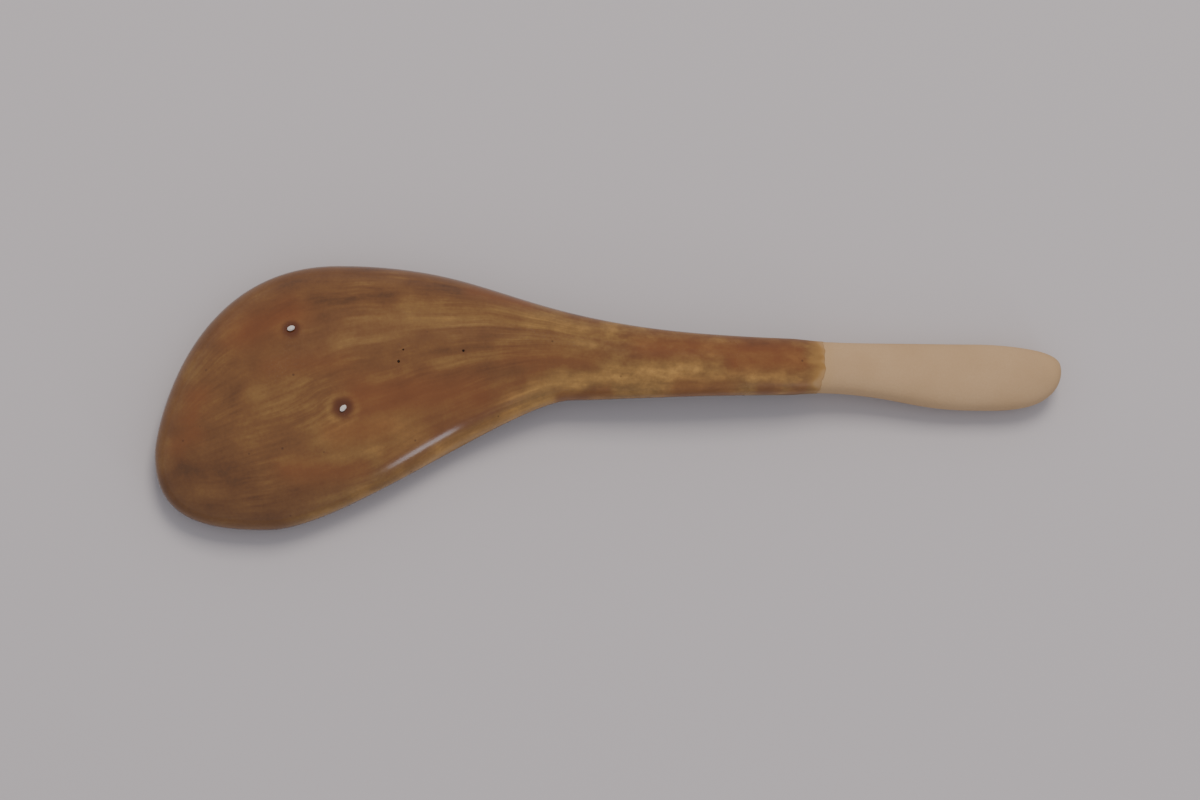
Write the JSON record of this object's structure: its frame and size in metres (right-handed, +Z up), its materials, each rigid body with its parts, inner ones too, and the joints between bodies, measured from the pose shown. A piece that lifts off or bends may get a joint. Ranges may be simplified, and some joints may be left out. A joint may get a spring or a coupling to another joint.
{
  "type": "offset spoon",
  "caption": "Hand-formed stoneware spoon with a skewed bowl, a slanted front edge, a glazed stem and a bare clay grip, lying face down.",
  "frame": {"origin": "on the table, under the middle of the spoon's box", "axes": "+X along the spoon towards the end of the grip, +Y towards the bowl's low shoulder, +Z up, out of the bowl's convex back"},
  "size_m": [0.1736, 0.05, 0.0136],
  "materials": {
    "clay": "bare fired clay, matt, pale tan",
    "glaze": "streaked brown glaze, satin to glossy, amber where it is thin",
    "pin_stub": "white refractory stub, matt"
  },
  "bodies": {
    "root": {"clay_body": "clay", "glaze_coat": "glaze", "pin_mark_shoulder": "pin_stub", "pin_mark_lobe": "pin_stub"}
  },
  "joints": []
}
